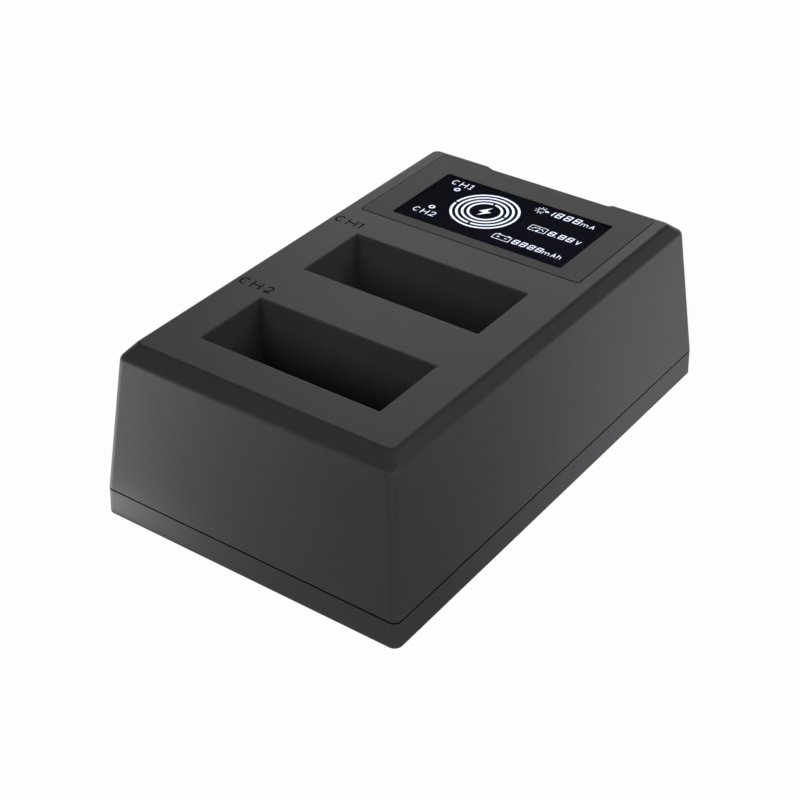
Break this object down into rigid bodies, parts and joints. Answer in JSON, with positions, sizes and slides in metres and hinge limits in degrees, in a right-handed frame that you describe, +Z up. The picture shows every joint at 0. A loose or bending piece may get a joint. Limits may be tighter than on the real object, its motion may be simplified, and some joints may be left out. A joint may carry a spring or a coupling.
{
  "type": "camera battery charger",
  "caption": "Tapered desktop charger with upright bays for camera batteries, a lit display panel and a power inlet in a recess at the back.",
  "frame": {"origin": "middle of the underside of the base cover", "axes": "+X to the right, +Y to the back with the power inlet, +Z up out of the bays"},
  "size_m": [0.0598, 0.0956, 0.0325],
  "materials": {
    "case_plastic": "fine moulded texture, charcoal",
    "base_plastic": "fine moulded texture, charcoal",
    "panel_plastic": "fine moulded texture, slightly darker than the case",
    "window_glass": "dark tinted gloss lens",
    "lcd_glass": "near-black readout",
    "light_guide": "clear white light guide",
    "led_resin": "small lamp",
    "frame_plastic": "black moulded frame",
    "strip_rubber": "elastomer strip",
    "board_laminate": "green circuit board",
    "chip_resin": "black resin",
    "screw_steel": "plated steel",
    "ribbon_film": "white film with printed tracks",
    "socket_plastic": "pale moulded socket",
    "block_plastic": "black moulded insulator",
    "contact_brass": "gold-flashed spring brass",
    "usb_steel": "plated folded steel",
    "tongue_plastic": "black moulded tongue",
    "inductor_ferrite": "grey ferrite",
    "capacitor_can": "aluminium can on a black foot"
  },
  "bodies": {
    "root": {"upper_shell": "case_plastic", "base_cover": "base_plastic", "display_panel": "panel_plastic", "display_window": "window_glass", "lcd_cell": "lcd_glass", "lcd_backlight": "light_guide", "backlight_leds": "led_resin", "lcd_frame": "frame_plastic", "lcd_strip": "strip_rubber", "display_board": "board_laminate", "display_chip": "chip_resin", "display_screws": "screw_steel", "ribbon_cable": "ribbon_film", "ribbon_sockets": "socket_plastic", "main_board": "board_laminate", "board_screws": "screw_steel", "ch1_contact_block": "block_plastic", "ch2_contact_block": "block_plastic", "ch1_contacts": "contact_brass", "ch2_contacts": "contact_brass", "usb_shell": "usb_steel", "usb_tongue": "tongue_plastic", "control_chip": "chip_resin", "charge_chips": "chip_resin", "power_inductors": "inductor_ferrite", "bulk_capacitors": "capacitor_can", "base_screws": "screw_steel"}
  },
  "joints": []
}
